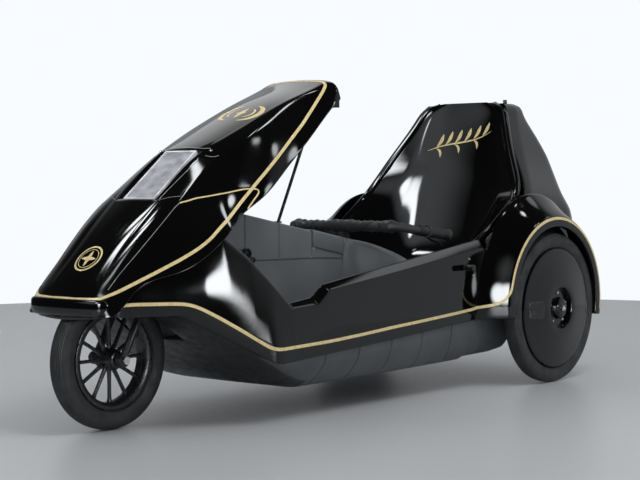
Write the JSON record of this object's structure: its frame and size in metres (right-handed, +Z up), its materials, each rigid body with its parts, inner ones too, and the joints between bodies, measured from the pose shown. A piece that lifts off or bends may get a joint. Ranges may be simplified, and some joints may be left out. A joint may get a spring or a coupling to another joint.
{
  "type": "single-seat recumbent electric tricycle",
  "caption": "Low recumbent pedal and electric tricycle: wedge nose over a steered wheel, open cockpit with a bucket seat, faired rear wheels and a boot.",
  "frame": {"origin": "on the ground, under the centre of the vehicle's box", "axes": "+Z up; the nose points along -Y, the boot along +Y; +X is the rider's left"},
  "size_m": [0.744, 1.744, 0.809],
  "materials": {
    "gloss_black": "deep gloss black paint on moulded polypropylene",
    "grey_shell": "fine grained grey polypropylene",
    "frame_steel": "satin black paint",
    "lamp_white": "white moulded bezel",
    "lamp_lens": "fluted clear lens",
    "tyre_rubber": "worn black rubber",
    "wheel_black": "moulded black",
    "bar_black": "black coated tube",
    "grip_black": "matt moulded grip",
    "bright_steel": "zinc plated",
    "battery_case": "ribbed battery case",
    "motor_black": "cast and painted",
    "lamp_red": "red lens"
  },
  "bodies": {
    "body": {"nose_hood": "gloss_black", "headlamp_housing": "lamp_white", "headlamp_lens": "lamp_lens", "front_flank_left": "gloss_black", "front_flank_right": "gloss_black", "side_panel_left": "gloss_black", "side_panel_right": "gloss_black", "wheel_arch_left": "gloss_black", "wheel_arch_right": "gloss_black", "lower_shell": "grey_shell", "front_bulkhead": "grey_shell", "centre_tunnel": "grey_shell", "tunnel_cover": "grey_shell", "spine_frame": "frame_steel", "seat_shell": "gloss_black", "rear_body": "gloss_black", "battery": "battery_case", "motor_gearbox": "motor_black", "hood_stay": "frame_steel", "side_peg_left": "frame_steel", "side_peg_right": "frame_steel", "tail_lamp": "lamp_red", "mast_socket": "frame_steel", "instrument_pod": "bar_black"},
    "steering": {"front_fork": "frame_steel", "front_axle": "bright_steel"},
    "front_wheel": {"front_rim": "wheel_black", "front_tyre": "tyre_rubber"},
    "handlebar": {"handlebar": "bar_black", "grip_left": "grip_black", "grip_right": "grip_black", "brake_lever_left": "bar_black", "brake_lever_right": "bar_black"},
    "rear_wheel_left": {"rear_axle": "bright_steel", "rear_rim_left": "wheel_black", "rear_tyre_left": "tyre_rubber", "wheel_cover_left": "wheel_black"},
    "rear_wheel_right": {"rear_rim_right": "wheel_black", "rear_tyre_right": "tyre_rubber", "wheel_cover_right": "wheel_black"},
    "crank": {"crankset": "bright_steel"},
    "pedal_left": {"pedal_left": "wheel_black"},
    "pedal_right": {"pedal_right": "wheel_black"},
    "luggage_lid": {"luggage_lid": "gloss_black"}
  },
  "joints": [
    {"name": "steering", "type": "hinge", "parent": "body", "child": "steering", "pos_m": [0, -0.69082, 0.14863], "axis": [0, 0.3746, 0.9272], "range_deg": [-20, 20]},
    {"name": "front_wheel_spin", "type": "hinge", "parent": "steering", "child": "front_wheel", "pos_m": [0, -0.714, 0.158], "axis": [1, 0, 0], "continuous": true},
    {"name": "handlebar_turn", "type": "hinge", "parent": "body", "child": "handlebar", "pos_m": [0, 0.12, 0.434], "axis": [0, 0, 1], "range_deg": [-21, 21]},
    {"name": "rear_wheel_left_spin", "type": "hinge", "parent": "body", "child": "rear_wheel_left", "pos_m": [0.341, 0.59, 0.203], "axis": [1, 0, 0], "continuous": true},
    {"name": "rear_wheel_right_spin", "type": "hinge", "parent": "body", "child": "rear_wheel_right", "pos_m": [-0.341, 0.59, 0.203], "axis": [1, 0, 0], "continuous": true},
    {"name": "crank_spin", "type": "hinge", "parent": "body", "child": "crank", "pos_m": [0, -0.348, 0.376], "axis": [1, 0, 0], "continuous": true},
    {"name": "pedal_left_spin", "type": "hinge", "parent": "crank", "child": "pedal_left", "pos_m": [0.106, -0.488, 0.376], "axis": [1, 0, 0], "continuous": true},
    {"name": "pedal_right_spin", "type": "hinge", "parent": "crank", "child": "pedal_right", "pos_m": [-0.106, -0.208, 0.376], "axis": [1, 0, 0], "continuous": true},
    {"name": "luggage_lid_hinge", "type": "hinge", "parent": "body", "child": "luggage_lid", "pos_m": [0, 0.867, 0.448], "axis": [-1, 0, 0], "range_deg": [0, 75]}
  ],
  "couplings": [
    {"joint": "handlebar_turn", "follows": "steering", "ratio": 1}
  ]
}
